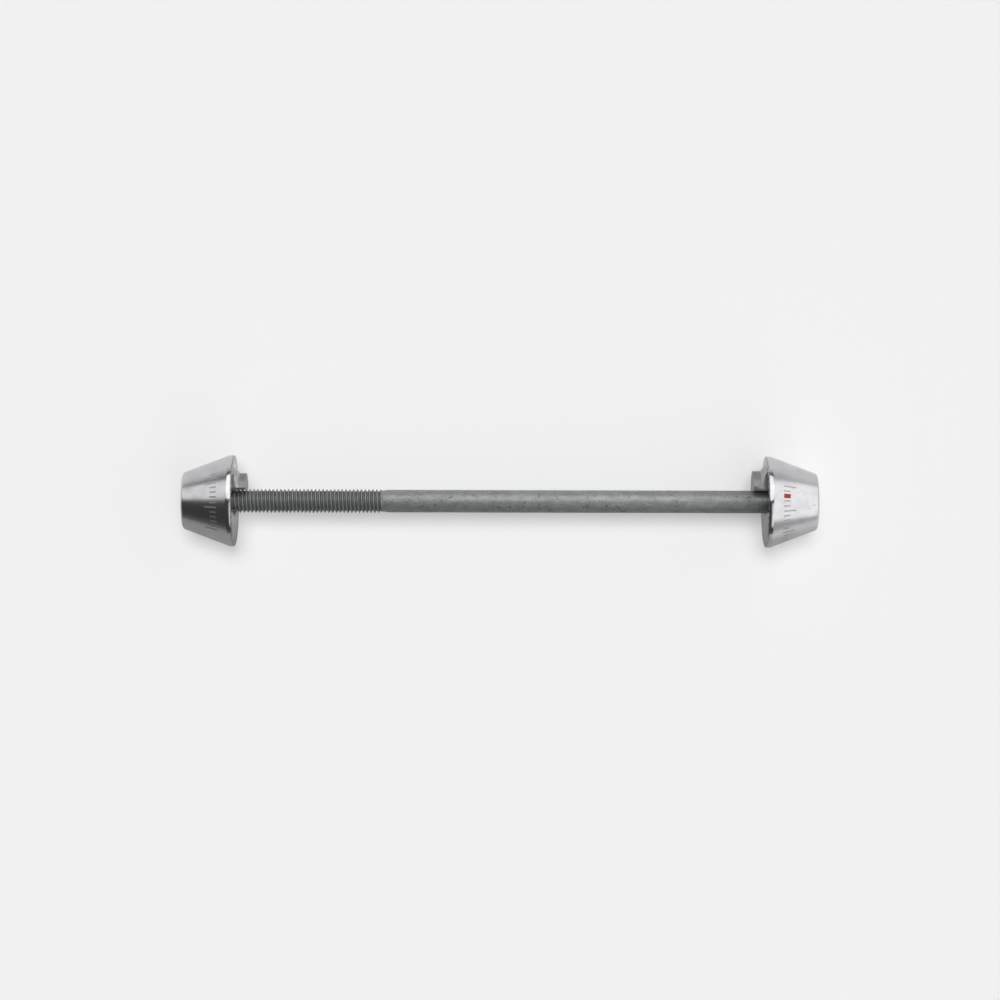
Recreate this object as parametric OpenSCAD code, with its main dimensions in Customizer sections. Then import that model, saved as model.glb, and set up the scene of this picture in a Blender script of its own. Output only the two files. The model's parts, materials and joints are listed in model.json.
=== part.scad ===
// Locking wheel skewer for a bicycle: a long bolt that clamps a hub between two cones.
// The bolt's head turns on a washer inside the cone cap, and its thread pulls in the cone nut.
// A nose on the inner face of each cone sits in the fork's slot, so neither cone can turn.
// Frame: X runs along the bolt, with the nut at -X and the head at +X, and the noses point to +Y.
// The origin is on the bolt's axis, halfway between the two clamping faces.

/* [Span] */
// Distance between the two clamping faces, which is the hub and both fork ends together
clamp_span = 110.6; // [90:0.1:170]

/* [Cones] */
// Length of each cone, from its clamping face to its small end
cone_len = 10.7; // [10:0.1:16]
// Diameter of the clamping rim
rim_d = 19; // [17.5:0.1:26]
// Width of the straight band round the rim
rim_band = 1; // [0.5:0.1:3]
// Diameter of the small end
small_end_d = 11.9; // [10.8:0.1:15]
// Chamfer on the cones' outer edges
cone_edge = 0.3; // [0.1:0.05:0.4]

/* [Serrations] */
// Number of radial grooves in each clamping face
groove_count = 40; // [20:1:56]
// Width of a groove where it meets the face
groove_w = 0.5; // [0.3:0.05:0.75]
// Depth of a groove
groove_depth = 0.18; // [0.1:0.02:0.4]
// Diameter of the plain middle of the face, inside the grooves
plain_face_d = 16; // [16:0.1:16.4]

/* [Noses] */
// How far the nut's nose stands in from its clamping face
nut_nose_len = 2.45; // [1.6:0.05:4]
// How far the nut's nose reaches from the bolt's axis
nut_nose_reach = 5.75; // [5:0.05:6.45]
// Radius of the rounded back of the nut's nose
nut_nose_back_r = 3.87; // [3.8:0.01:4.6]
// How far the cap's nose stands in from its clamping face
cap_nose_len = 2.65; // [1.6:0.05:4]
// How far the cap's nose reaches from the bolt's axis
cap_nose_reach = 6.45; // [5:0.05:6.45]
// Radius of the rounded back of the cap's nose
cap_nose_back_r = 3.8; // [3.8:0.01:4.6]
// Width of a nose across its flat sides
nose_w = 7.5; // [5:0.1:7.6]
// Distance from the bolt's axis to the flat underside of a nose
nose_floor = 2.3; // [1.5:0.05:2.6]
// Chamfer round the end of a nose
nose_edge = 0.2; // [0.1:0.05:0.4]
// Height of the flare at the root of a nose
flare_len = 1.1; // [0.5:0.05:1.3]
// How far that flare spreads over the clamping face
flare_spread = 1.5; // [0.5:0.05:1.55]
// Width of the low lip that is left of the nut's stub across the bore from its nose
lip_w = 3.6; // [2.5:0.1:4]
// Height of the lip
lip_len = 0.85; // [0.4:0.05:1]

/* [Bolt] */
// Nominal diameter of the thread
thread_d = 5; // [4.6:0.1:5.2]
// Pitch of the thread
thread_pitch = 0.8; // [0.5:0.05:1]
// Depth of the thread from crest to root
thread_depth = 0.49; // [0.3:0.01:0.55]
// Length of the threaded end
thread_len = 40; // [20:0.8:60]
// Chamfer at the tip
tip_chamfer = 0.6; // [0.2:0.05:1]
// How far the tip stays inside the small end of the nut
tip_recess = 1.5; // [0.5:0.1:4]
// Diameter of the neck behind the thread
neck_d = 4.45; // [3.8:0.05:4.6]
// Length of the neck's straight part
neck_len = 0.4; // [0.2:0.05:2]
// Length of the cone that leads from the neck to the shank
neck_rise = 0.8; // [0.3:0.05:2]
// Diameter of the plain shank
shank_d = 4.7; // [4.6:0.05:5.2]
// Diameter of the head
head_d = 8.5; // [7.5:0.1:8.8]
// Height of the head
head_len = 5; // [4:0.1:6]
// Chamfer round the top of the head
head_edge = 0.4; // [0.1:0.05:0.7]
// Size of the hex socket across its flats
socket_w = 5; // [3:0.5:6]
// Depth of the hex socket's flats
socket_depth = 3.4; // [2:0.1:3.8]
// Diameter of the countersink at the socket's mouth
socket_mouth_d = 6.2; // [5.9:0.1:7]
// Depth of the drill point below the socket
drill_point = 0.6; // [0.2:0.05:0.9]

/* [Washer] */
// Thickness of the washer under the head
washer_t = 0.8; // [0.5:0.1:1.5]
// Outer diameter of the washer
washer_d = 8.5; // [7.5:0.1:8.8]
// Chamfer on the washer's outer edges
washer_edge = 0.12; // [0.05:0.01:0.2]

/* [Seats and clearances] */
// Distance from the cap's clamping face to the seat of the washer
seat_depth = 3.6; // [2.5:0.1:4.5]
// Diameter of the pocket that holds the head and its washer
pocket_d = 9; // [8.8:0.1:9.4]
// Radial clearance between the bolt's thread and the nut
nut_clearance = 0.03; // [0.02:0.01:0.08]
// Radial clearance of the bolt in the cap and in the washer
cap_clearance = 0.15; // [0.05:0.01:0.3]
// Countersink at the mouths of the nut's and the cap's bores
bore_edge = 0.35; // [0.1:0.05:0.6]

/* [Hidden] */

steel_colour = "silver";
bolt_colour = "dimgray";
// Facets of a round shape in the preview
$fn = 96;
// How far a cutter runs past the surface that it opens, and a boss sinks into its cone
past = 1;

half_span = clamp_span / 2;
rim_r = rim_d / 2;
small_end_r = small_end_d / 2;
widest_rod_r = max(thread_d, shank_d) / 2;
nut_bore_r = thread_d / 2 + nut_clearance;
cap_bore_r = widest_rod_r + cap_clearance;

// Stations along X, from the tip of the bolt to the top of its head
tip_x = -(half_span + cone_len - tip_recess);
thread_turns = floor(thread_len / thread_pitch);
thread_end_x = tip_x + thread_turns * thread_pitch;
shank_start_x = thread_end_x + neck_len + neck_rise;
washer_x = half_span + seat_depth;
head_x = washer_x + washer_t;
head_top_x = head_x + head_len;

// Shares of one pitch that a metric thread gives to its root flat and its crest flat
root_share = 1 / 4;
crest_share = 1 / 8;

// Points are [radius, station] pairs in the profiles that are turned about the axis.

// The chamfer at the tip holds every radius near it to a 45 degree cone
function tip_limit(r, x) = min(r, thread_d / 2 - tip_chamfer + (x - tip_x));

// One ridge of the thread, from its root on the tip's side to its root on the head's side
function ridge(start_x) =
    let (
        root_r = thread_d / 2 - thread_depth,
        root_half = thread_pitch * root_share / 2,
        crest_half = thread_pitch * crest_share / 2,
        crest_x = start_x + thread_pitch / 2,
        first_x = start_x + root_half,
        last_x = start_x + thread_pitch - root_half
    )
    [
        [tip_limit(root_r, first_x), first_x],
        [tip_limit(thread_d / 2, crest_x - crest_half), crest_x - crest_half],
        [tip_limit(thread_d / 2, crest_x + crest_half), crest_x + crest_half],
        [tip_limit(root_r, last_x), last_x]
    ];

thread_points = [
    for (turn = [0 : thread_turns - 1])
        for (point = ridge(tip_x + turn * thread_pitch)) point
];

// Stands a shape that was turned about Z along X instead
module along_x() {
    rotate([0, 90, 0]) children();
}

module axle_bolt() {
    color(bolt_colour) along_x() difference() {
        rotate_extrude() polygon(concat(
            [[0, tip_x], [thread_d / 2 - tip_chamfer, tip_x]],
            thread_points,
            [
                [neck_d / 2, thread_end_x],
                [neck_d / 2, thread_end_x + neck_len],
                [shank_d / 2, shank_start_x],
                [shank_d / 2, head_x],
                [head_d / 2, head_x],
                [head_d / 2, head_top_x - head_edge],
                [head_d / 2 - head_edge, head_top_x],
                [0, head_top_x]
            ]
        ));
        hex_socket();
    }
}

// The socket opens in the top of the head: a countersink, six flats and a drill point
module hex_socket() {
    corner_r = socket_w / 2 / cos(30);
    mouth_r = max(socket_mouth_d / 2, corner_r);
    translate([0, 0, head_top_x - socket_depth])
        cylinder(r = corner_r, h = socket_depth + past, $fn = 6);
    translate([0, 0, head_top_x - socket_depth - drill_point])
        cylinder(r1 = 0, r2 = socket_w / 2, h = drill_point + 0.01);
    translate([0, 0, head_top_x - (mouth_r - socket_w / 2)])
        cylinder(r1 = socket_w / 2, r2 = mouth_r + past, h = mouth_r - socket_w / 2 + past);
}

module head_washer() {
    inner_r = cap_bore_r;
    outer_r = washer_d / 2;
    color(steel_colour) along_x() rotate_extrude() polygon([
        [inner_r, washer_x],
        [outer_r - washer_edge, washer_x],
        [outer_r, washer_x + washer_edge],
        [outer_r, washer_x + washer_t - washer_edge],
        [outer_r - washer_edge, washer_x + washer_t],
        [inner_r, washer_x + washer_t]
    ]);
}

// Both cones are built with the clamping face at height 0, the small end up and the nose down

module cone_shell() {
    rotate_extrude() polygon([
        [0, 0],
        [rim_r - cone_edge / 2, 0],
        [rim_r, cone_edge / 2],
        [rim_r, rim_band],
        [small_end_r, cone_len - cone_edge],
        [small_end_r - cone_edge, cone_len],
        [0, cone_len]
    ]);
}

// The turned stub with its flared root that a nose is milled from
module stub(length, reach, back_r) {
    translate([0, reach - back_r, 0]) rotate_extrude() polygon([
        [0, past],
        [back_r + flare_spread, past],
        [back_r + flare_spread, 0],
        [back_r, -flare_len],
        [back_r, nose_edge - length],
        [back_r - nose_edge, -length],
        [0, -length]
    ]);
}

// A stub that is milled flat on both sides and underneath
module nose(length, reach, back_r) {
    intersection() {
        stub(length, reach, back_r);
        translate([-nose_w / 2, nose_floor, -length - past])
            cube([nose_w, reach + flare_spread, length + 2 * past]);
    }
}

// The flared root of the nut's stub stands on across the bore, where its top was milled off
module lip() {
    intersection() {
        stub(nut_nose_len, nut_nose_reach, nut_nose_back_r);
        translate([-lip_w / 2, -rim_r, -lip_len]) cube([lip_w, rim_r, lip_len + past / 2]);
    }
}

// V grooves that start at the plain middle of the face and run out through the rim
module serrations() {
    spread = 1 + past / groove_depth;
    for (groove = [0 : groove_count - 1])
        rotate([0, 0, (groove + 0.5) * 360 / groove_count])
            translate([plain_face_d / 2, 0, 0])
                rotate([90, 0, 90])
                    linear_extrude(rim_r + past - plain_face_d / 2)
                        polygon([
                            [0, groove_depth],
                            [-groove_w / 2 * spread, -past],
                            [groove_w / 2 * spread, -past]
                        ]);
}

// The cone without its nose
module serrated_cone() {
    difference() {
        cone_shell();
        serrations();
    }
}

// A straight bore from below the nose up to a height, with a countersink at its upper end
module bore(r, nose_len, top) {
    translate([0, 0, -nose_len - past]) cylinder(r = r, h = top + nose_len + 2 * past);
    translate([0, 0, top - bore_edge]) cylinder(r1 = r, r2 = r + bore_edge + past, h = bore_edge + past);
}

module cone_nut() {
    color(steel_colour) translate([-half_span, 0, 0]) mirror([1, 0, 0]) along_x() difference() {
        union() {
            serrated_cone();
            nose(nut_nose_len, nut_nose_reach, nut_nose_back_r);
            lip();
        }
        bore(nut_bore_r, nut_nose_len, cone_len);
    }
}

module cone_cap() {
    color(steel_colour) translate([half_span, 0, 0]) along_x() difference() {
        union() {
            serrated_cone();
            nose(cap_nose_len, cap_nose_reach, cap_nose_back_r);
        }
        bore(cap_bore_r, cap_nose_len, seat_depth);
        translate([0, 0, seat_depth]) cylinder(r = pocket_d / 2, h = cone_len - seat_depth + past);
    }
}

axle_bolt();
head_washer();
cone_nut();
cone_cap();
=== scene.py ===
"""Looks of a locking wheel skewer: a part-threaded bolt between two turned steel cones.

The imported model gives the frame. Four meshes stand for its four nodes: the bolt with a helical
thread and a hex socket, the washer under its head, and the cone nut and the cone cap with their
noses and serrated faces. Meshes are worked in millimetres and become metres as they are finished.
The bolt's axis is X, the noses point to +Y, and the rims lie on the floor below.
"""

import json
import logging
import math
from collections.abc import Callable, Sequence
from dataclasses import dataclass, field
from enum import Enum, IntEnum
from typing import Any

import bmesh
import bpy
from mathutils import Matrix, Vector

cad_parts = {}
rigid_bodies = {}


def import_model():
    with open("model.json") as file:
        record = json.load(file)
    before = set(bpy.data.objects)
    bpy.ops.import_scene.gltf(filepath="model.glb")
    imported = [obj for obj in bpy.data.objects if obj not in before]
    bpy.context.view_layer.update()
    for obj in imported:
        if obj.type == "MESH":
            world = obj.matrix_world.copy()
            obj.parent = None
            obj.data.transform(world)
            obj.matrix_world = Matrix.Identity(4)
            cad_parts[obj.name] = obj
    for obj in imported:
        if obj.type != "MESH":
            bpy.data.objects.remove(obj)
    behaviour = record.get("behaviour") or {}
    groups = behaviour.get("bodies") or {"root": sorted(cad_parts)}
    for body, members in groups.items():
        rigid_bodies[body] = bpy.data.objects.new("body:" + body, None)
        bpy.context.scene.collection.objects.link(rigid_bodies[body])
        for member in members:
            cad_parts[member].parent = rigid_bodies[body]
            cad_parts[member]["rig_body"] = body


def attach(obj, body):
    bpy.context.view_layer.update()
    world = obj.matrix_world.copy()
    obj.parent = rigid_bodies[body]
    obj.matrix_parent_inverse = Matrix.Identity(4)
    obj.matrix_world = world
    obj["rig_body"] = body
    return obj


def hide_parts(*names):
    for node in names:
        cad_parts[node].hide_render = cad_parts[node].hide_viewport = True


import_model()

LOG = logging.getLogger("skewer")
MM = 0.001
FULL_TURN = 2 * math.pi

# Half the distance between the clamping faces, and the cones' widest diameter.
FACE_X = 55.3
RIM_D = 19.0
# How near vertices lie that are merged, anywhere and across the seam of a turned shape.
MERGED = 1e-4
SEAM = 2e-3
# How far a cutting tool reaches past what it cuts.
PAST = 1.0
# The least distance that counts as one, between places on a shape.
NEAR = 0.01
# The sine of the tilt from which a face leans inwards, or away from the rim.
LEANS = 0.2

Profile = list[tuple[float, float]]
Colour = tuple[float, float, float]
Triple = tuple[float, float, float]


class Side(Enum):
    """The end of the bolt that a cone sits on. The value is the sign of its X."""

    NUT = -1
    CAP = 1


class Joining(Enum):
    """How one shape is combined with another. The value is Blender's name for it."""

    CUT = "DIFFERENCE"
    WELD = "UNION"


class Region(IntEnum):
    """The faces of a cone by how they were made. The value is the material's place."""

    TURNED = 0
    MILLED = 1
    STUB = 2
    BORED = 3


class Seen(Enum):
    """What a lamp reaches, pale matt things or shining metal, in diffuse and in glossy rays."""

    MATT = (True, False)
    SHINE = (False, True)


class Outline(Enum):
    """The shape of a softbox. The value is Blender's name for it."""

    ROUND = "ELLIPSE"
    SQUARE = "RECTANGLE"


class Workpiece:
    """A closed shape on the bench, held as a bmesh in millimetres."""

    def __init__(self) -> None:
        """Starts with an empty mesh."""
        self.bm = bmesh.new()

    def everything(self) -> list[Any]:
        """Returns all vertices, edges and faces."""
        return self.bm.verts[:] + self.bm.edges[:] + self.bm.faces[:]

    def turn(
        self,
        profile: Profile,
        steps: int,
        closed: bool = False,
        lead: float = 0.0,
        centre_y: float = 0.0,
    ) -> "Workpiece":
        """Turns a profile about a line along X, as a lathe does.

        Args:
            profile: (station, radius) pairs in order. An open one starts and ends on the axis.
            steps: How many faces go round.
            closed: Whether the last point joins the first, as on a ring.
            lead: How far the profile moves along X in one turn. A thread has one.
            centre_y: Where the line along X lies in Y.

        Returns:
            The workpiece itself.
        """
        verts = [self.bm.verts.new((x, centre_y + r, 0)) for x, r in profile]
        ends = verts[1:] + verts[:1] if closed else verts[1:]
        edges = [self.bm.edges.new(pair) for pair in zip(verts, ends)]
        advance = (lead / steps, 0, 0)
        self.sweep(verts + edges, steps, cent=(0, centre_y, 0), dvec=advance, use_merge=lead == 0)
        return self.tidy(SEAM)

    def sweep(self, geom: list[Any], steps: int, angle: float = FULL_TURN, **more: Any) -> None:
        """Sweeps geometry round a line along X. Further settings go to the operator as they are."""
        settings = {"cent": (0, 0, 0), "axis": (1, 0, 0), **more}
        bmesh.ops.spin(self.bm, geom=geom, steps=steps, angle=angle, **settings)

    def rod(self, near_x: float, far_x: float, radius: float, steps: int) -> "Workpiece":
        """Turns a plain rod between two stations."""
        return self.turn([(near_x, 0), (near_x, radius), (far_x, radius), (far_x, 0)], steps)

    def tidy(self, reach: float = MERGED) -> "Workpiece":
        """Merges vertices that lie together and turns every face outwards."""
        bmesh.ops.remove_doubles(self.bm, verts=self.bm.verts, dist=reach)
        bmesh.ops.dissolve_degenerate(self.bm, edges=self.bm.edges, dist=reach)
        bmesh.ops.recalc_face_normals(self.bm, faces=self.bm.faces)
        return self

    def mill(self, point: Triple, outward: Triple) -> "Workpiece":
        """Cuts away what lies beyond a plane and closes the cut with a flat face.

        Args:
            point: A point on the plane.
            outward: The direction of what is cut away.

        Returns:
            The workpiece itself.
        """
        cut = bmesh.ops.bisect_plane(
            self.bm,
            geom=self.everything(),
            dist=1e-5,
            plane_co=point,
            plane_no=outward,
            clear_outer=True,
        )
        rim = [e for e in cut["geom_cut"] if isinstance(e, bmesh.types.BMEdge)]
        bmesh.ops.holes_fill(self.bm, edges=[e for e in rim if e.is_boundary], sides=0)
        return self.tidy()

    def soften(self, radius: float, segments: int, sharper_than: float = 16.0) -> "Workpiece":
        """Rounds every edge where two faces meet at more than an angle.

        Args:
            radius: How far back from the edge the rounding starts.
            segments: How many faces the rounding has.
            sharper_than: The angle between the faces, in degrees.

        Returns:
            The workpiece itself.
        """
        limit = math.radians(sharper_than)
        edges = [e for e in self.bm.edges if e.is_manifold and e.calc_face_angle(0.0) > limit]
        bmesh.ops.bevel(
            self.bm,
            geom=edges,
            offset=radius,
            offset_type="OFFSET",
            segments=segments,
            profile=0.5,
            affect="EDGES",
            clamp_overlap=True,
            material=-1,
        )
        return self.tidy()

    def limit_radius(self, limit: Callable[[float, float], float]) -> "Workpiece":
        """Moves vertices towards or away from the X axis.

        Args:
            limit: Gives a vertex's new radius from its station and its radius.

        Returns:
            The workpiece itself.
        """
        for vert in self.bm.verts:
            radius = math.hypot(vert.co.y, vert.co.z)
            if radius > 0:
                share = limit(vert.co.x, radius) / radius
                vert.co.y *= share
                vert.co.z *= share
        return self

    def place(self, matrix: Matrix) -> "Workpiece":
        """Moves, turns or mirrors the whole shape and keeps its faces outwards."""
        bmesh.ops.transform(self.bm, matrix=matrix, verts=self.bm.verts)
        bmesh.ops.recalc_face_normals(self.bm, faces=self.bm.faces)
        return self

    def as_object(self, name: str) -> bpy.types.Object:
        """Makes a Blender object of the shape, in the shape's own units."""
        mesh = bpy.data.meshes.new(name)
        self.bm.to_mesh(mesh)
        made = bpy.data.objects.new(name, mesh)
        bpy.context.scene.collection.objects.link(made)
        return made

    def combine(self, tool: "Workpiece", how: Joining) -> "Workpiece":
        """Cuts another shape out of this one, or welds it on.

        Args:
            tool: The other shape, which is used up.
            how: Whether it is cut out or welded on.

        Returns:
            The workpiece itself.
        """
        work_object, tool_object = self.as_object("work"), tool.as_object("tool")
        step = work_object.modifiers.new("combine", "BOOLEAN")
        step.operation = how.value
        step.solver = "EXACT"
        step.object = tool_object
        graph = bpy.context.evaluated_depsgraph_get()
        result = bpy.data.meshes.new_from_object(work_object.evaluated_get(graph))
        self.bm.clear()
        self.bm.from_mesh(result)
        used = [work_object.data, tool_object.data, result]
        for spent in (work_object, tool_object):
            bpy.data.objects.remove(spent)
        for spent in used:
            bpy.data.meshes.remove(spent)
        tool.bm.free()
        return self.tidy()

    def add(self, other: "Workpiece") -> "Workpiece":
        """Takes in another closed shape as it is, sunk into this one."""
        loose = bpy.data.meshes.new("loose")
        other.bm.to_mesh(loose)
        self.bm.from_mesh(loose)
        bpy.data.meshes.remove(loose)
        other.bm.free()
        return self

    def piece(
        self,
        name: str,
        materials: Sequence[bpy.types.Material],
        region_of: Callable[[Vector, Vector], int] | None = None,
        sharp_from: float = 14.0,
    ) -> bpy.types.Object:
        """Finishes the shape as a piece in metres, smooth but for its sharp edges.

        Args:
            name: The piece's name.
            materials: Its materials in order.
            region_of: Gives a face's material from its middle and its normal, in millimetres.
            sharp_from: The angle between faces, in degrees, from which an edge stays sharp.

        Returns:
            The piece's object.
        """
        for face in self.bm.faces:
            face.smooth = True
            if region_of:
                face.material_index = region_of(face.calc_center_median(), face.normal)
        bmesh.ops.scale(self.bm, vec=(MM, MM, MM), verts=self.bm.verts)
        made = self.as_object(name)
        self.bm.free()
        for material in materials:
            made.data.materials.append(material)
        made.data.set_sharp_from_angle(angle=math.radians(sharp_from))
        return made


class Signal:
    """A number that varies over a surface: a shader socket that takes Python's operators."""

    def __init__(self, bench: "Bench", socket: bpy.types.NodeSocket) -> None:
        """Wraps an output socket of one of the bench's nodes."""
        self.bench = bench
        self.socket = socket

    def maths(self, operation: str, *others: Any, first: Any = None) -> "Signal":
        """Adds a Math node.

        Args:
            operation: Blender's name of the operation.
            others: Its second and third values, if it has them.
            first: Its first value, where that isn't this signal.

        Returns:
            The node's result.
        """
        values = [self if first is None else first, *others]
        inputs = dict(enumerate(values))
        made = self.bench.node("ShaderNodeMath", {"operation": operation}, inputs)
        return Signal(self.bench, made.outputs[0])

    def __add__(self, other: Any) -> "Signal":
        """Adds."""
        return self.maths("ADD", other)

    __radd__ = __add__

    def __mul__(self, other: Any) -> "Signal":
        """Multiplies."""
        return self.maths("MULTIPLY", other)

    __rmul__ = __mul__

    def __sub__(self, other: Any) -> "Signal":
        """Subtracts."""
        return self.maths("SUBTRACT", other)

    def __rsub__(self, other: Any) -> "Signal":
        """Subtracts this from a number."""
        return self.maths("SUBTRACT", self, first=other)

    def __truediv__(self, other: Any) -> "Signal":
        """Divides."""
        return self.maths("DIVIDE", other)

    def __rtruediv__(self, other: Any) -> "Signal":
        """Divides a number by this."""
        return self.maths("DIVIDE", self, first=other)

    def __abs__(self) -> "Signal":
        """Drops the sign."""
        return self.maths("ABSOLUTE")

    def off_nearest(self) -> "Signal":
        """Returns how far the value is from the nearest whole number."""
        return abs(self - self.maths("ROUND"))

    def ramp(self, start: float, end: float) -> "Signal":
        """Goes smoothly from 0 at start to 1 at end. Start may be the larger."""
        low, high = sorted((start, end))
        made = self.bench.node(
            "ShaderNodeMapRange",
            {"interpolation_type": "SMOOTHSTEP"},
            {"Value": self, "From Min": low, "From Max": high},
        )
        rising = Signal(self.bench, made.outputs["Result"])
        return rising if start < end else 1 - rising


class Bench:
    """The node tree of one finish, with one method that makes any node."""

    def __init__(self, tree: bpy.types.NodeTree) -> None:
        """Empties the tree that the finish is built in."""
        self.tree = tree
        tree.nodes.clear()

    def node(
        self,
        kind: str,
        settings: dict[str, Any] | None = None,
        inputs: dict[str | int, Any] | None = None,
    ) -> bpy.types.Node:
        """Makes a node.

        Args:
            kind: Blender's name of the node's type.
            settings: Its settings, such as an operation, which are set first.
            inputs: A value, a colour, a Signal or a socket for each named or numbered input.

        Returns:
            The node.
        """
        made = self.tree.nodes.new(kind)
        for name, value in (settings or {}).items():
            setattr(made, name, value)
        for name, value in (inputs or {}).items():
            source = value.socket if isinstance(value, Signal) else value
            if isinstance(source, bpy.types.NodeSocket):
                self.tree.links.new(source, made.inputs[name])
            else:
                made.inputs[name].default_value = source
        return made

    def colours(self, share: Signal, first: Any, second: Any) -> bpy.types.NodeSocket:
        """Mixes two colours.

        Args:
            share: 0 where the first shows, 1 where the second does.
            first: A colour, or the socket of one.
            second: The other colour.

        Returns:
            The mixed colour's socket.
        """
        made = self.node("ShaderNodeMix", {"data_type": "RGBA"}, {0: share})
        for place, colour in ((6, first), (7, second)):
            if isinstance(colour, bpy.types.NodeSocket):
                self.tree.links.new(colour, made.inputs[place])
            else:
                made.inputs[place].default_value = (*colour, 1.0)
        return made.outputs[2]

    def lines(self, along: Signal, per_mm: float) -> Signal:
        """Noise along one direction only, as a turning tool leaves it.

        Args:
            along: The place along that direction, in millimetres.
            per_mm: How many lines lie along a millimetre.

        Returns:
            The noise, from about 0.3 to 0.7.
        """
        made = self.node(
            "ShaderNodeTexNoise",
            {"noise_dimensions": "1D"},
            {"W": along, "Scale": per_mm, "Detail": 3.0},
        )
        return Signal(self, made.outputs["Fac"])


@dataclass
class Surface:
    """Where a point of the skewer lies, as the finishes need it."""

    bench: Bench
    place: bpy.types.NodeSocket = field(init=False)
    station: Signal = field(init=False)
    y: Signal = field(init=False)
    z: Signal = field(init=False)

    def __post_init__(self) -> None:
        """Reads the object coordinates, in metres, and splits them in millimetres."""
        self.place = self.bench.node("ShaderNodeTexCoord").outputs["Object"]
        split = self.bench.node("ShaderNodeSeparateXYZ", {}, {0: self.place})
        self.station, self.y, self.z = (Signal(self.bench, out) / MM for out in split.outputs)

    def clouds(self, per_mm: float, detail: float, place: Any = None) -> Signal:
        """Noise in space.

        Args:
            per_mm: How many clouds lie along a millimetre.
            detail: How many finer layers are laid over them.
            place: The socket of another place to read it at, in metres.

        Returns:
            The noise, from about 0.3 to 0.7.
        """
        vector = self.place if place is None else place
        inputs = {"Vector": vector, "Scale": per_mm / MM, "Detail": detail}
        return Signal(self.bench, self.bench.node("ShaderNodeTexNoise", {}, inputs).outputs["Fac"])

    def radius(self) -> Signal:
        """Returns the distance from the bolt's axis."""
        return (self.y * self.y + self.z * self.z).maths("SQRT")

    def degrees(self) -> Signal:
        """Returns the angle round the axis, 0 on top and 90 towards the noses."""
        return self.y.maths("ARCTAN2", self.z) * math.degrees(1)

    def off_face(self) -> Signal:
        """Returns the distance outwards from the nearer clamping face."""
        return abs(self.station) - FACE_X


@dataclass(frozen=True)
class Finish:
    """A metal surface. The kinds below add what varies over it."""

    name: str = "metal"
    colour: Colour = (0.6, 0.6, 0.6)
    roughness: float = 0.3
    metallic: float = 1.0

    def make(self) -> bpy.types.Material:
        """Makes the material: the shader's own values first, then what varies."""
        material = bpy.data.materials.new(self.name)
        material.use_nodes = True
        bench = Bench(material.node_tree)
        shader = bench.node(
            "ShaderNodeBsdfPrincipled",
            {},
            {
                "Base Color": (*self.colour, 1.0),
                "Roughness": self.roughness,
                "Metallic": self.metallic,
            },
        )
        bench.node("ShaderNodeOutputMaterial", {}, {"Surface": shader.outputs["BSDF"]})
        for name, value in self.vary(bench, Surface(bench)).items():
            source = value.socket if isinstance(value, Signal) else value
            bench.tree.links.new(source, shader.inputs[name])
        return material

    def vary(self, bench: Bench, at: Surface) -> dict[str, Any]:
        """Says what varies over the surface.

        Args:
            bench: The tree to add nodes to.
            at: Where a point of the surface lies.

        Returns:
            A signal or socket for each input of the shader that varies.
        """
        raise NotImplementedError

    def varied(self, bench: Bench, colour: Any, rough: Signal, height: Signal) -> dict[str, Any]:
        """Gathers what varies: the colour, the roughness, and the height in millimetres."""
        inputs = {"Strength": 1.0, "Distance": MM, "Height": height}
        normal = bench.node("ShaderNodeBump", {}, inputs).outputs["Normal"]
        return {"Base Color": colour, "Roughness": rough, "Normal": normal}

    def shade(self, amount: float) -> Colour:
        """Returns the finish's colour, lighter above 1 and darker below."""
        return tuple(amount * channel for channel in self.colour)

    def shades(self, bench: Bench, base: float, *layers: tuple[Signal, float]) -> Any:
        """Lays shades of the finish over each other.

        Args:
            bench: The tree to add nodes to.
            base: The shade that lies under the others.
            layers: Where each further shade covers what lies under it, and the shade.

        Returns:
            The colour that results.
        """
        colour = self.shade(base)
        for share, amount in layers:
            colour = bench.colours(share, colour, self.shade(amount))
        return colour


@dataclass(frozen=True)
class Graduation:
    """A scale of plain ticks that is etched round a cone, with every fifth one longer."""

    first_deg: float
    last_deg: float
    step_deg: float = 7.0
    tick_w: float = 0.3
    near: float = 3.1
    far: float = 4.5
    far_long: float = 5.7
    long_every: int = 5
    zero_deg: float | None = None
    zero_ticks: int = 3
    blur: float = 0.06
    blur_deg: float = 1.0

    def band(self, at: Surface, near: float, far: float) -> Signal:
        """Returns 1 between two distances from the clamping face."""
        out = at.off_face()
        return out.ramp(near - self.blur, near + self.blur) * out.ramp(far + self.blur, far - self.blur)

    def line(self, at: Surface, off_deg: Signal, width: float) -> Signal:
        """Returns 1 on a line of a width, from how many degrees a point lies off its middle."""
        off = off_deg * math.radians(1) * at.radius()
        return off.ramp(width / 2 + self.blur, width / 2 - self.blur)

    def ticks(self, at: Surface) -> Signal:
        """Returns 1 on the ticks and 0 between them."""
        angle = at.degrees()
        start_deg = self.first_deg - self.step_deg / 2
        end_deg = self.last_deg + self.step_deg / 2
        inside = angle.ramp(start_deg, start_deg + self.blur_deg)
        inside = inside * angle.ramp(end_deg, end_deg - self.blur_deg)
        rows = []
        for every, far in ((1, self.far), (self.long_every, self.far_long)):
            step = self.step_deg * every
            off_deg = ((angle - self.first_deg) / step).off_nearest() * step
            rows.append(self.line(at, off_deg, self.tick_w) * self.band(at, self.near, far))
        return rows[0].maths("MAXIMUM", rows[1]) * inside

    def zero(self, at: Surface) -> Signal:
        """Returns 1 on the painted zero mark, which is some ticks wide."""
        off_deg = abs(at.degrees() - self.zero_deg)
        mark = self.line(at, off_deg, self.zero_ticks * self.tick_w)
        return mark * self.band(at, self.near, self.far)


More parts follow.
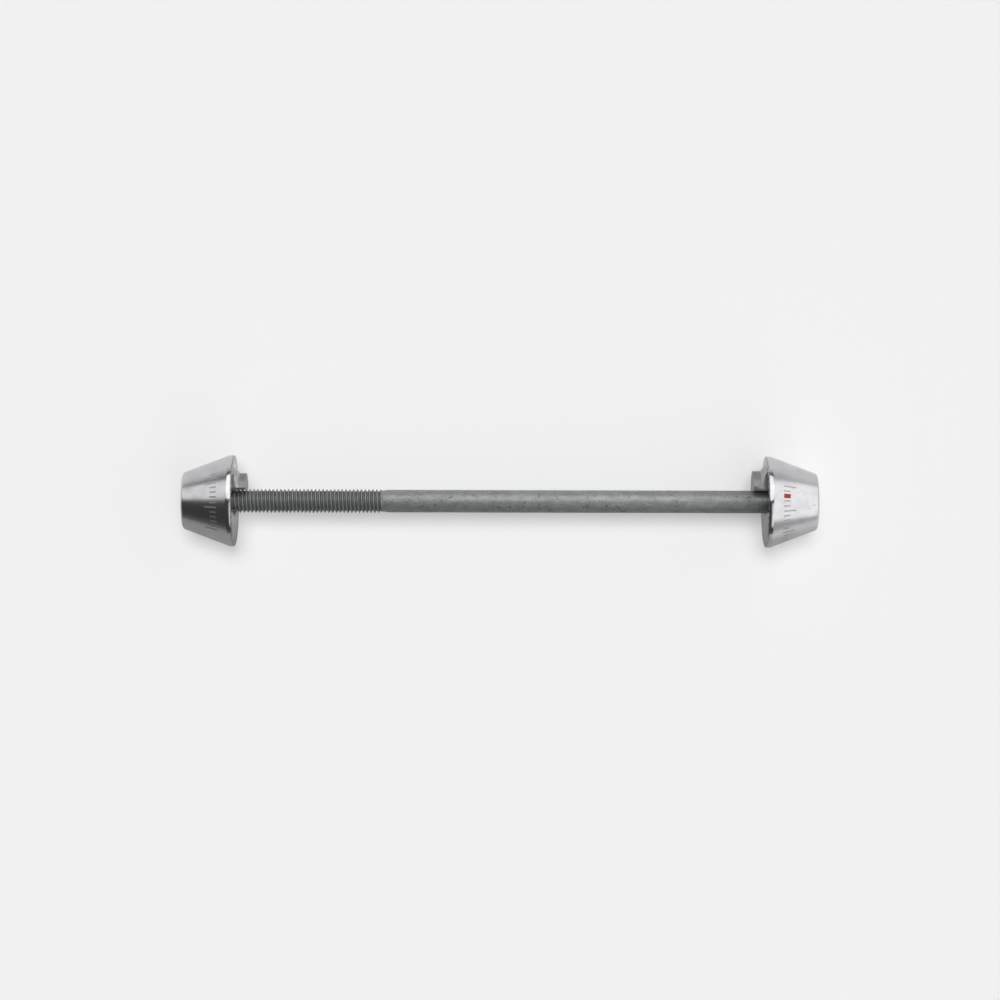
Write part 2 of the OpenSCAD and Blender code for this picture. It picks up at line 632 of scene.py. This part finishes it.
@dataclass(frozen=True)
class TurnedSteel(Finish):
    """Polished steel of a cone's outside, with faint turning lines, smudges and etched ticks."""

    name: str = "turned_steel"
    colour: Colour = (0.62, 0.612, 0.63)
    roughness: float = 0.24
    scale: Graduation | None = None
    etched_colour: Colour = (0.44, 0.43, 0.43)
    etched_roughness: float = 0.55
    enamel: Colour = (0.30, 0.012, 0.016)
    etched_depth: float = 0.008
    rim_band: tuple[float, float] = (1.2, 0.9)
    rim_polish: float = 0.4
    line_height: float = 0.0004
    wave_height: float = 0.007
    grain_height: float = 0.0008

    def vary(self, bench: Bench, at: Surface) -> dict[str, Any]:
        """Says what varies over the surface."""
        tool_lines = bench.lines(abs(at.station) + at.radius(), 9.0)
        smudge = at.clouds(0.35, 4.0)
        grain = at.clouds(4.0, 3.0)
        speck = at.clouds(2.2, 1.0).ramp(0.735, 0.78)
        etched = self.scale.ticks(at)
        height = (
            tool_lines * self.line_height
            + at.clouds(0.3, 1.0) * self.wave_height
            + grain * self.grain_height
            - etched * self.etched_depth
        )
        colour = self.shades(bench, 1.04, (smudge.ramp(0.35, 0.7), 0.93), (speck, 0.35))
        colour = bench.colours(etched, colour, self.etched_colour)
        rough = self.roughness * (0.8 + 0.4 * smudge) + 0.12 * speck + 0.05 * (tool_lines - 0.5)
        rough = rough * (1 - self.rim_polish * at.off_face().ramp(*self.rim_band))
        rough = rough + etched * (self.etched_roughness - self.roughness)
        if self.scale.zero_deg is None:
            return self.varied(bench, colour, rough, height)
        paint = self.scale.zero(at)
        colour = bench.colours(paint, colour, self.enamel)
        return {**self.varied(bench, colour, rough, height), "Metallic": 1 - paint}


@dataclass(frozen=True)
class MilledSteel(Finish):
    """Steel of the clamping faces, the noses' flats and the lip, with fine cutter marks."""

    name: str = "milled_steel"
    colour: Colour = (0.41, 0.41, 0.40)
    roughness: float = 0.17

    def vary(self, bench: Bench, at: Surface) -> dict[str, Any]:
        """Says what varies over the surface."""
        rings = bench.lines(at.radius(), 7.0)
        stain = at.clouds(0.5, 4.0)
        grain = at.clouds(7.0, 3.0)
        height = rings * 0.0008 + grain * 0.0015
        colour = self.shades(bench, 1.06, (stain.ramp(0.35, 0.68), 0.84))
        rough = self.roughness * (0.75 + 0.5 * grain) + 0.1 * (stain - 0.5)
        return self.varied(bench, colour, rough, height)


@dataclass(frozen=True)
class StubSteel(Finish):
    """Matt grey steel of a nose's rounded back and its end, finely speckled."""

    name: str = "stub_steel"
    colour: Colour = (0.31, 0.305, 0.315)
    roughness: float = 0.5

    def vary(self, bench: Bench, at: Surface) -> dict[str, Any]:
        """Says what varies over the surface."""
        speckle = at.clouds(5.0, 3.0)
        stain = at.clouds(0.7, 3.0)
        layers = ((stain.ramp(0.35, 0.65), 0.9), (speckle.ramp(0.58, 0.72), 0.7))
        colour = self.shades(bench, 1.06, *layers)
        rough = self.roughness * (0.8 + 0.4 * speckle)
        height = speckle * 0.004
        return self.varied(bench, colour, rough, height)


@dataclass(frozen=True)
class BoredSteel(Finish):
    """Duller steel inside the bores and the pocket, with the drill's rings and some oil."""

    name: str = "bored_steel"
    colour: Colour = (0.42, 0.42, 0.41)
    roughness: float = 0.42

    def vary(self, bench: Bench, at: Surface) -> dict[str, Any]:
        """Says what varies over the surface."""
        rings = bench.lines(at.station, 6.0)
        oil = at.clouds(0.8, 4.0)
        height = rings * 0.004 + oil * 0.002
        colour = self.shades(bench, 1.1, (oil.ramp(0.4, 0.65), 0.6))
        rough = self.roughness + 0.3 * (rings - 0.5)
        return self.varied(bench, colour, rough, height)


@dataclass(frozen=True)
class FlakeCoat(Finish):
    """Dark grey zinc flake coat of the bolt: matt, faintly mottled, with small dark pits. Its colour
    also holds painted shade in the thread's roots, a painted highlight on the crests, and painted shade
    where the shank runs into the cap.
    """

    name: str = "zinc_flake_coat"
    colour: Colour = (0.318, 0.332, 0.330)
    roughness: float = 0.48
    metallic: float = 0.8
    pit_depth: float = 0.02
    grain_height: float = 0.0022
    # Stations over which painted shade darkens the shank towards the cap.
    cap_shade_x: tuple[float, float] = (FACE_X - 16, FACE_X - 2)
    thread_end_x: float = -24.5
    root_r: float = 2.1
    crest_r: float = 2.42

    def vary(self, bench: Bench, at: Surface) -> dict[str, Any]:
        """Says what varies over the surface."""
        stretched = {"Vector": at.place, "Scale": (0.5, 1.0, 1.0)}
        stretch = bench.node("ShaderNodeMapping", {}, stretched).outputs["Vector"]
        mottle = at.clouds(0.9, 4.0, stretch)
        grain = at.clouds(10.0, 3.0)
        pits = self.pits(bench, at, stretch)
        height = grain * self.grain_height - pits * self.pit_depth
        threaded = at.station.ramp(self.thread_end_x + 0.2, self.thread_end_x - 0.2)
        radius = at.radius()
        # Painted shade in the thread's roots, and a painted highlight along its crests.
        roots = threaded * radius.ramp(self.crest_r, self.root_r)
        crests = threaded * radius.ramp(self.crest_r - 0.05, self.crest_r + 0.04)
        layers = (
            (mottle.ramp(0.32, 0.68), 0.88),
            (grain.ramp(0.55, 0.75) * 0.35, 0.68),
            (roots, 0.6),
            (crests * 0.5, 1.5),
            # Painted shade on the shank as it runs into the cap.
            (at.station.ramp(*self.cap_shade_x) * 0.5, 0.55),
            (pits * 0.85, 0.2),
        )
        colour = self.shades(bench, 1.10, *layers)
        rough = self.roughness * (0.85 + 0.3 * mottle) + 0.2 * pits
        return self.varied(bench, colour, rough, height)

    def pits(self, bench: Bench, at: Surface, stretch: bpy.types.NodeSocket) -> Signal:
        """Returns 1 in the pits, which lie in loose groups along the rod.

        Args:
            bench: The tree to add nodes to.
            at: Where a point of the surface lies.
            stretch: The same place, drawn out along the rod.

        Returns:
            1 in a pit and 0 between them.
        """
        groups = at.clouds(0.16, 1.0).ramp(0.38, 0.52)
        large = at.clouds(2.1, 2.5, stretch).ramp(0.635, 0.70) * groups
        small = at.clouds(4.6, 2.0, stretch).ramp(0.60, 0.67)
        return large.maths("MAXIMUM", small * 0.55)


@dataclass(frozen=True)
class GroundSteel(Finish):
    """Plain ground steel of the washer."""

    name: str = "ground_steel"
    colour: Colour = (0.5, 0.5, 0.5)
    roughness: float = 0.34

    def vary(self, bench: Bench, at: Surface) -> dict[str, Any]:
        """Says what varies over the surface."""
        scratches = bench.lines(at.y + 0.3 * at.z, 12.0)
        stain = at.clouds(1.1, 3.0)
        colour = self.shades(bench, 1.05, (stain.ramp(0.35, 0.7), 0.8))
        rough = self.roughness + 0.16 * (scratches - 0.5)
        height = scratches * 0.001
        return self.varied(bench, colour, rough, height)


@dataclass(frozen=True)
class Thread:
    """A right-handed metric thread along X, as its bolt and its nut share it.

    The slacks keep the nut's ridge off the bolt's flanks and roots.
    """

    diameter: float = 5.0
    pitch: float = 0.8
    depth: float = 0.49
    root_share: float = 1 / 4
    crest_share: float = 1 / 8
    flank_slack: float = 0.03
    root_slack: float = 0.06
    sunk: float = 0.1
    start_x: float = -64.5
    turns: int = 50
    spare_turns: int = 2
    steps: int = 56

    @property
    def end_x(self) -> float:
        """Where the last turn ends."""
        return self.start_x + self.turns * self.pitch

    @property
    def crest_r(self) -> float:
        """Radius at the crests."""
        return self.diameter / 2

    @property
    def root_r(self) -> float:
        """Radius at the roots."""
        return self.diameter / 2 - self.depth

    def ridges(self) -> Profile:
        """Returns the profile of all ridges, with some to spare at each end."""
        root_half = self.pitch * self.root_share / 2
        crest_half = self.pitch * self.crest_share / 2
        offsets = (
            (root_half, self.root_r),
            (self.pitch / 2 - crest_half, self.crest_r),
            (self.pitch / 2 + crest_half, self.crest_r),
            (self.pitch - root_half, self.root_r),
        )
        first_x = self.start_x - self.spare_turns * self.pitch
        return [
            (first_x + turn * self.pitch + offset, radius)
            for turn in range(self.turns + 2 * self.spare_turns)
            for offset, radius in offsets
        ]

    def male(self) -> Workpiece:
        """Makes the threaded end of the bolt, closed at both ends."""
        body = Workpiece().turn(self.ridges(), self.steps, lead=self.pitch)
        body.mill((self.start_x, 0, 0), (-1, 0, 0))
        return body.mill((self.end_x, 0, 0), (1, 0, 0))

    def female(self, bore_r: float, from_x: float, to_x: float) -> Workpiece:
        """Makes the ridge inside the nut, which lies in the bolt's grooves.

        Args:
            bore_r: Radius of the bore that the ridge stands in.
            from_x: Where the ridge starts.
            to_x: Where it ends.

        Returns:
            The ridge as one closed helical bar.
        """
        slope = (self.pitch / 2) * (1 - self.root_share - self.crest_share) / self.depth
        tip_r = self.root_r + self.root_slack
        tip_half = self.pitch * self.root_share / 2 + slope * self.root_slack - self.flank_slack
        base_r = bore_r + self.sunk
        base_half = tip_half + slope * (base_r - tip_r)
        turns = math.ceil((to_x - from_x) / self.pitch) + 2
        first_x = self.start_x + math.floor((from_x - self.start_x) / self.pitch - 1) * self.pitch
        bar = Workpiece()
        outline = ((-base_half, base_r), (-tip_half, tip_r), (tip_half, tip_r), (base_half, base_r))
        verts = [bar.bm.verts.new((first_x + x, r, 0)) for x, r in outline]
        end = bar.bm.faces.new(verts)
        advance = (self.pitch / self.steps, 0, 0)
        section = [end, *end.edges, *end.verts]
        bar.sweep(section, self.steps * turns, FULL_TURN * turns, dvec=advance)
        bar.tidy()
        bar.mill((from_x, 0, 0), (-1, 0, 0))
        return bar.mill((to_x, 0, 0), (1, 0, 0))


@dataclass
class Bolt:
    """The long bolt: threaded end, neck, plain shank, and a head with a hex socket."""

    thread: Thread
    tip_chamfer: float = 0.6
    neck_d: float = 4.45
    neck_len: float = 0.4
    neck_rise: float = 0.8
    runout_turns: float = 0.7
    sunk_len: float = 0.4
    sunk_in: float = 0.2
    seam_gap: float = 0.02
    shank_d: float = 4.7
    head_x: float = 59.7
    head_d: float = 8.5
    head_len: float = 5.0
    head_edge: float = 0.4
    socket_w: float = 5.0
    socket_depth: float = 3.4
    socket_mouth_d: float = 6.2
    drill_point: float = 0.6
    drill_slack: float = 0.03
    drill_steps: int = 64
    edge_r: float = 0.09
    steps: int = 144

    @property
    def top_x(self) -> float:
        """Where the head ends."""
        return self.head_x + self.head_len

    def threaded_end(self) -> Workpiece:
        """Makes the thread with its tip chamfered and its last turn run out to the neck."""
        start_r = self.thread.crest_r - self.tip_chamfer
        fade = self.runout_turns * self.thread.pitch

        def dressed(x: float, radius: float) -> float:
            """Returns the radius under the tip's cone and towards the neck."""
            share = max(0.0, 1 - (self.thread.end_x - x) / fade)
            radius = min(radius, start_r + max(0.0, x - self.thread.start_x))
            return radius + share * (self.neck_d / 2 - radius)

        return self.thread.male().limit_radius(dressed)

    def shank_and_head(self) -> Workpiece:
        """Makes the neck, the shank and the head in one, with its socket cut."""
        end_x = self.thread.end_x
        shank_x = end_x + self.neck_len + self.neck_rise
        sunk_x = end_x - self.sunk_len
        sunk_r = self.thread.root_r - self.sunk_in
        body = Workpiece().turn(
            [
                (sunk_x, 0),
                (sunk_x, sunk_r),
                (end_x - self.seam_gap, self.neck_d / 2 - self.seam_gap),
                (end_x + self.neck_len, self.neck_d / 2),
                (shank_x, self.shank_d / 2),
                (self.head_x, self.shank_d / 2),
                (self.head_x, self.head_d / 2),
                (self.top_x - self.head_edge, self.head_d / 2),
                (self.top_x, self.head_d / 2 - self.head_edge),
                (self.top_x, 0),
            ],
            self.steps,
        )
        body.soften(self.edge_r, 2)
        body.combine(self.hexagon(), Joining.CUT)
        return body.combine(self.drill(), Joining.CUT)

    def hexagon(self) -> Workpiece:
        """Makes the tool that cuts the socket's six flats."""
        corner_r = self.socket_w / 2 / math.cos(math.radians(30))
        floor_x = self.top_x - self.socket_depth
        hexagon = Workpiece().rod(floor_x, self.top_x + PAST, corner_r, 6)
        return hexagon.place(Matrix.Rotation(math.radians(30), 4, "X"))

    def drill(self) -> Workpiece:
        """Makes the tool that cuts the drill point and the countersink at the mouth."""
        hole_r = self.socket_w / 2 - self.drill_slack
        floor_x = self.top_x - self.socket_depth
        sink = self.socket_mouth_d / 2 - hole_r
        return Workpiece().turn(
            [
                (floor_x - self.drill_point, 0),
                (floor_x - NEAR, hole_r),
                (self.top_x - sink, hole_r),
                (self.top_x + PAST, hole_r + sink + PAST),
                (self.top_x + PAST, 0),
            ],
            self.drill_steps,
        )

    def build(self, coat: bpy.types.Material) -> bpy.types.Object:
        """Makes the bolt, coats it and has it stand for its node."""
        made = self.shank_and_head().add(self.threaded_end()).piece("bolt_with_thread", [coat])
        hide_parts("axle_bolt")
        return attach(made, "bolt")


@dataclass
class Washer:
    """The thrust washer between the bolt's head and its seat in the cap."""

    x: float = 58.9
    thickness: float = 0.8
    outer_d: float = 8.5
    inner_d: float = 5.3
    edge_r: float = 0.12
    steps: int = 120

    def build(self, steel: bpy.types.Material) -> bpy.types.Object:
        """Makes the washer and has it stand for its node."""
        inner_r, outer_r = self.inner_d / 2, self.outer_d / 2
        far_x = self.x + self.thickness
        ring = [(self.x, inner_r), (self.x, outer_r), (far_x, outer_r), (far_x, inner_r)]
        body = Workpiece().turn(ring, self.steps, closed=True).soften(self.edge_r, 3)
        made = body.piece("thrust_washer", [steel])
        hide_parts("head_washer")
        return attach(made, "washer")


@dataclass(frozen=True)
class Nose:
    """The nose that keeps a cone from turning, made with the cone's face at station 0."""

    length: float
    reach: float
    back_r: float
    width: float = 7.5
    floor_y: float = 2.3
    edge: float = 0.2
    flare_len: float = 1.1
    flare_spread: float = 1.5
    sunk: float = 1.0
    lip_sunk: float = 0.8
    lip_edge: float = 0.08
    soft_to_deg: float = 25.0
    steps: int = 112
    bore_steps: int = 96

    def stub(self, width: float) -> Workpiece:
        """Makes the turned stub with its flared root, milled flat on both sides."""
        foot_r = self.back_r + self.flare_spread
        profile = [
            (self.sunk, 0),
            (self.sunk, foot_r),
            (0, foot_r),
            (-self.flare_len, self.back_r),
            (-self.length, self.back_r),
            (-self.length, 0),
        ]
        turned = Workpiece().turn(profile, self.steps, centre_y=self.reach - self.back_r)
        turned.mill((0, 0, width / 2), (0, 0, 1))
        return turned.mill((0, 0, -width / 2), (0, 0, -1))

    def bored(self, blank: Workpiece, bore_r: float) -> Workpiece:
        """Cuts the bore through what was milled from the stub."""
        near_x, far_x = -self.length - PAST, self.sunk + PAST / 2
        drill = Workpiece().rod(near_x, far_x, bore_r, self.bore_steps)
        return blank.combine(drill, Joining.CUT)

    def make(self, bore_r: float) -> Workpiece:
        """Makes the nose, milled flat underneath and cut by the bore."""
        blank = self.stub(self.width).mill((0, self.floor_y, 0), (0, -1, 0))
        return self.bored(blank.soften(self.edge, 3, self.soft_to_deg), bore_r)

    def lip(self, width: float, height: float, bore_r: float) -> Workpiece:
        """Makes the low lip that is left of the stub across the bore.

        Args:
            width: Its width across the slot.
            height: How far it stands out from the clamping face.
            bore_r: Radius of the bore.

        Returns:
            The lip.
        """
        blank = self.stub(width).mill((0, 0, 0), (0, 1, 0))
        blank.mill((-height, 0, 0), (-1, 0, 0)).mill((self.lip_sunk, 0, 0), (1, 0, 0))
        return self.bored(blank.soften(self.lip_edge, 2, self.soft_to_deg), bore_r)

    def is_stub(self, station: float, y: float, z: float) -> bool:
        """Says whether a point of the cone lies on the nose's rounded back or its end."""
        round_r = math.hypot(y - (self.reach - self.back_r), z)
        on_back = station < -self.flare_len - NEAR and round_r > self.back_r - 3 * NEAR
        on_end = station < -self.length + 3 * NEAR and y > self.floor_y
        return on_back or on_end


@dataclass
class Cone:
    """A clamping cone, made with its face at station 0 and its small end at +X."""

    side: Side
    nose: Nose
    length: float = 10.7
    rim_band: float = 1.0
    small_end_d: float = 11.9
    edge: float = 0.3
    groove_count: int = 40
    groove_w: float = 0.5
    groove_depth: float = 0.18
    groove_over: float = 0.05
    plain_face_d: float = 16.0
    bore_r: float = 2.53
    bore_edge: float = 0.35
    edge_r: float = 0.06
    steps: int = 320

    def inside(self) -> Profile:
        """Returns the profile of the hole, from the small end to the clamping face."""
        raise NotImplementedError

    def body(self) -> Workpiece:
        """Makes the turned body with its hole."""
        rim_r, small_r = RIM_D / 2, self.small_end_d / 2
        outside = [
            (0, rim_r - self.edge / 2),
            (self.edge / 2, rim_r),
            (self.rim_band, rim_r),
            (self.length - self.edge, small_r),
            (self.length, small_r - self.edge),
        ]
        return Workpiece().turn(outside + self.inside(), self.steps, closed=True).soften(self.edge_r, 2)

    def grooves(self) -> Workpiece:
        """Makes the tool that cuts the V grooves out through the rim."""
        over = self.groove_over
        half = self.groove_w / 2 * (1 + over / self.groove_depth)
        start_r = self.plain_face_d / 2
        tool = Workpiece()
        corners = ((self.groove_depth, 0), (-over, half), (-over, -half))
        end = tool.bm.faces.new([tool.bm.verts.new((x, start_r, z)) for x, z in corners])
        drawn = bmesh.ops.extrude_face_region(tool.bm, geom=[end])
        far = [v for v in drawn["geom"] if isinstance(v, bmesh.types.BMVert)]
        bmesh.ops.translate(tool.bm, vec=(0, RIM_D / 2 + PAST - start_r, 0), verts=far)
        pitch = FULL_TURN / self.groove_count
        bmesh.ops.rotate(tool.bm, matrix=Matrix.Rotation(pitch / 2, 3, "X"), verts=tool.bm.verts)
        copies = self.groove_count - 1
        tool.sweep(tool.everything(), copies, pitch * copies, use_duplicate=True)
        return tool.tidy()

    def stands_out(self) -> list[Workpiece]:
        """Returns what stands out from the clamping face."""
        return [self.nose.make(self.bore_r)]

    def shape(self) -> Workpiece:
        """Makes the whole cone and puts it at its end of the bolt."""
        whole = self.body()
        whole.combine(self.grooves(), Joining.CUT)
        for raised in self.stands_out():
            whole.combine(raised, Joining.WELD)
        sign = self.side.value
        move = Matrix.Translation((sign * FACE_X, 0, 0))
        return whole.place(move @ Matrix.Diagonal((sign, 1, 1, 1)))

    def region_of(self, middle: Vector, normal: Vector) -> int:
        """Says how a face was made.

        Args:
            middle: The face's middle in millimetres.
            normal: Its outward direction.

        Returns:
            The face's region.
        """
        station = self.side.value * middle.x - FACE_X
        radius = math.hypot(middle.y, middle.z)
        inwards = normal.y * middle.y + normal.z * middle.z < -LEANS * radius
        if station > 0 and (inwards or radius < self.inside_r() + NEAR):
            return Region.BORED
        if self.nose.is_stub(station, middle.y, middle.z) and not inwards:
            return Region.STUB
        on_rim = normal.x * self.side.value > -LEANS and radius > RIM_D / 2 - 5 * NEAR
        if station < self.groove_depth + NEAR and not on_rim:
            return Region.MILLED
        return Region.TURNED

    def inside_r(self) -> float:
        """Returns the widest radius of the hole."""
        return max(radius for _, radius in self.inside())


@dataclass
class ConeNut(Cone):
    """The threaded cone at the bolt's tip."""

    lip_w: float = 3.6
    lip_len: float = 0.85
    thread_from_end: float = 0.25
    thread_from_face: float = 0.05

    def stands_out(self) -> list[Workpiece]:
        """Returns the nose and the lip across the bore from it."""
        return [*super().stands_out(), self.nose.lip(self.lip_w, self.lip_len, self.bore_r)]

    def inside(self) -> Profile:
        """Returns the bore with its countersink."""
        return [
            (self.length, self.bore_r + self.bore_edge),
            (self.length - self.bore_edge, self.bore_r),
            (0, self.bore_r),
        ]

    def build(self, thread: Thread, steels: Sequence[bpy.types.Material]) -> bpy.types.Object:
        """Makes the nut with the thread in its bore and has it stand for its node."""
        whole = self.shape()
        outer_x = -FACE_X - self.length + self.thread_from_end
        inner_x = -FACE_X - self.thread_from_face
        whole.add(thread.female(self.bore_r, outer_x, inner_x))
        made = whole.piece("nut_cone", steels, self.region_of)
        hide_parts("cone_nut")
        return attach(made, "nut")


@dataclass
class ConeCap(Cone):
    """The plain cone that hides the bolt's head in a pocket."""

    bore_r: float = 2.65
    seat_depth: float = 3.6
    pocket_d: float = 9.0

    def inside(self) -> Profile:
        """Returns the pocket, its seat and the bore."""
        pocket_r = self.pocket_d / 2
        return [
            (self.length, pocket_r),
            (self.seat_depth, pocket_r),
            (self.seat_depth, self.bore_r + self.bore_edge),
            (self.seat_depth - self.bore_edge, self.bore_r),
            (0, self.bore_r),
        ]

    def build(self, steels: Sequence[bpy.types.Material]) -> bpy.types.Object:
        """Makes the cap and has it stand for its node."""
        made = self.shape().piece("cap_cone", steels, self.region_of)
        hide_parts("cone_cap")
        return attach(made, "cap")


@dataclass(frozen=True)
class Softbox:
    """An evenly bright panel that only the metal mirrors.

    Its size is given at a metre away, and a glow of 1 is white.
    """

    name: str
    toward: Triple
    size: tuple[float, float]
    glow: float
    outline: Outline = Outline.ROUND

    def light(self) -> bpy.types.Light:
        """Makes the light. Its power follows from how large and how bright it looks."""
        data = bpy.data.lights.new(self.name, "AREA")
        data.shape = self.outline.value
        data.size, data.size_y = self.size
        fill = math.pi / 4 if self.outline is Outline.ROUND else 1.0
        data.energy = self.glow * math.pi * fill * self.size[0] * self.size[1]
        return data


@dataclass
class Studio:
    """The floor, the lamps, the world and the camera."""

    floor_side: float = 12000.0
    paper: float = 0.862
    mirrored_behind: float = 0.9
    mirrored_in_front: float = 0.42
    front_y: tuple[float, float] = (2.0, -9.0)
    front_x: tuple[float, float] = (95.0, 50.0)
    camera_y: float = 0.28
    camera_z: float = 584.0
    camera_turn: float = 0.14
    frame_w: float = 208.6
    sensor_w: float = 36.0
    key_share: float = 0.45
    key_tilt: float = 11.5
    key_width: float = 26.0
    fill_share: float = 0.335
    rear_glow: float = 0.75
    front_glow: float = 0.15
    dark_room: float = 0.06
    wall_top: tuple[float, float] = (0.10, 0.26)
    right_glow: float = 0.45
    right_wall: tuple[float, float] = (0.2, 0.55)
    window_left: tuple[float, float] = (0.02, 0.1)
    window_right: tuple[float, float] = (0.5, 0.35)
    window_rear: tuple[float, float] = (-0.02, -0.12)
    window_low: tuple[float, float] = (0.32, 0.5)
    window_glow: float = 1.3
    softboxes: tuple[Softbox, ...] = (
        Softbox("rear_softbox", (0, 0.602, 0.799), (1.10, 1.30), 1.45),
        Softbox("left_softbox", (-0.70, 0.40, 0.594), (0.79, 0.79), 0.95),
        Softbox("right_softbox", (0.813, 0.05, 0.58), (1.9, 0.95), 0.92, Outline.SQUARE),
    )

    def camera(self) -> None:
        """Stands the camera straight over the skewer, with the noses at the top of the picture."""
        data = bpy.data.cameras.new("camera")
        data.sensor_width = self.sensor_w
        data.lens = self.sensor_w * self.camera_z / self.frame_w
        data.clip_start = 0.01
        data.clip_end = 50
        made = bpy.data.objects.new("camera", data)
        made.location = (0, self.camera_y * MM, self.camera_z * MM)
        made.rotation_euler.z = math.radians(self.camera_turn)
        bpy.context.scene.collection.objects.link(made)
        bpy.context.scene.camera = made

    def paper_sheet(self) -> bpy.types.Material:
        """Makes the paper. Metal mirrors it darker, with painted shade that is darkest in front of the
        skewer.
        """
        material = bpy.data.materials.new("paper")
        material.use_nodes = True
        bench = Bench(material.node_tree)
        at = Surface(bench)
        # Painted shade on the paper as metal mirrors it: darker everywhere, and darkest in front of the
        # skewer.
        front_shade = at.y.ramp(*self.front_y) * at.station.ramp(*self.front_x)
        glossy = Signal(bench, bench.node("ShaderNodeLightPath").outputs["Is Glossy Ray"])
        drop = self.mirrored_behind - self.mirrored_in_front
        lost = (1 - self.mirrored_behind) + front_shade * drop
        tone = self.paper * (1 - glossy * lost)
        matt = bench.node("ShaderNodeBsdfDiffuse", {}, {"Color": tone})
        bench.node("ShaderNodeOutputMaterial", {}, {"Surface": matt.outputs["BSDF"]})
        return material

    def floor(self) -> None:
        """Lays the pale paper that the rims rest on."""
        sheet = Workpiece()
        bmesh.ops.create_grid(sheet.bm, x_segments=1, y_segments=1, size=self.floor_side / 2)
        bmesh.ops.translate(sheet.bm, vec=(0, 0, -RIM_D / 2), verts=sheet.bm.verts)
        sheet.piece("floor", [self.paper_sheet()])

    def lamp(self, name: str, data: bpy.types.Light, toward: Triple, seen: Seen) -> None:
        """Hangs a lamp a metre away that points at the skewer.

        Args:
            name: The lamp's name.
            data: The light itself.
            toward: The direction in which the lamp lies.
            seen: What it reaches.
        """
        made = bpy.data.objects.new(name, data)
        away = Vector(toward).normalized()
        made.location = away
        made.rotation_euler = away.to_track_quat("Z", "Y").to_euler()
        made.visible_camera = False
        made.visible_diffuse, made.visible_glossy = seen.value
        bpy.context.scene.collection.objects.link(made)

    def sun(self, name: str, tilt_deg: float, share: float, width_deg: float, shadow: bool) -> None:
        """Lights the paper evenly from above.

        Args:
            name: The lamp's name.
            tilt_deg: How far it leans from straight above towards the noses' side.
            share: Its share of the light that shows a colour as it is written.
            width_deg: How wide it looks, which softens its shadow.
            shadow: Whether it casts one.
        """
        tilt = math.radians(tilt_deg)
        data = bpy.data.lights.new(name, "SUN")
        data.energy = math.pi * share / math.cos(tilt)
        data.angle = math.radians(width_deg)
        data.use_shadow = shadow
        self.lamp(name, data, (0, math.sin(tilt), math.cos(tilt)), Seen.MATT)

    def world(self) -> None:
        """Makes a dim room with pale walls low down, which the camera sees as plain white."""
        world = bpy.data.worlds.new("room")
        world.use_nodes = True
        bpy.context.scene.world = world
        bench = Bench(world.node_tree)
        direction = bench.node("ShaderNodeTexCoord").outputs["Generated"]
        split = bench.node("ShaderNodeSeparateXYZ", {}, {0: direction})
        x, y, z = (Signal(bench, out) for out in split.outputs)
        seen = Signal(bench, bench.node("ShaderNodeLightPath").outputs["Is Camera Ray"])
        upper = self.dark_room + x.ramp(*self.right_wall) * (self.right_glow - self.dark_room)
        window = x.ramp(*self.window_left) * x.ramp(*self.window_right)
        window = window * y.ramp(*self.window_rear) * z.ramp(*self.window_low)
        upper = upper + window * self.window_glow
        front = self.front_glow + x.ramp(*self.right_wall) * self.right_glow
        walls = front + y.ramp(-0.2, 0.2) * (self.rear_glow - front)
        room = upper + z.ramp(*reversed(self.wall_top)) * (walls - upper)
        strength = seen * self.paper + (1 - seen) * room
        back = bench.node("ShaderNodeBackground", {}, {"Strength": strength})
        bench.node("ShaderNodeOutputWorld", {}, {"Surface": back.outputs["Background"]})

    def build(self) -> None:
        """Sets up the whole studio."""
        bpy.context.scene.view_settings.view_transform = "Standard"
        self.camera()
        self.floor()
        self.world()
        self.sun("key", self.key_tilt, self.key_share, self.key_width, True)
        self.sun("fill", 0.0, self.fill_share, 2.0, False)
        for softbox in self.softboxes:
            self.lamp(softbox.name, softbox.light(), softbox.toward, Seen.SHINE)


def main() -> None:
    """Builds the studio and the four pieces, and reports each one."""
    logging.basicConfig(level=logging.INFO, format="%(message)s")
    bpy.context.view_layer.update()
    Studio().build()
    thread = Thread()
    coat = FlakeCoat().make()
    plain = [MilledSteel().make(), StubSteel().make(), BoredSteel().make()]
    nut_scale = Graduation(first_deg=-44, last_deg=40)
    cap_scale = Graduation(first_deg=-82.5, last_deg=22.5, zero_deg=8.5)
    nut_steel = TurnedSteel(name="turned_steel_nut", scale=nut_scale).make()
    cap_steel = TurnedSteel(name="turned_steel_cap", scale=cap_scale).make()
    nut_nose = Nose(length=2.45, reach=5.75, back_r=3.87)
    cap_nose = Nose(length=2.65, reach=6.45, back_r=3.8)
    pieces = [
        Bolt(thread).build(coat),
        Washer().build(GroundSteel().make()),
        ConeNut(Side.NUT, nut_nose).build(thread, [nut_steel, *plain]),
        ConeCap(Side.CAP, cap_nose).build([cap_steel, *plain]),
    ]
    for piece in pieces:
        LOG.info("%s: %d faces on body %s", piece.name, len(piece.data.polygons), piece["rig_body"])


if __name__ == "__main__":
    main()
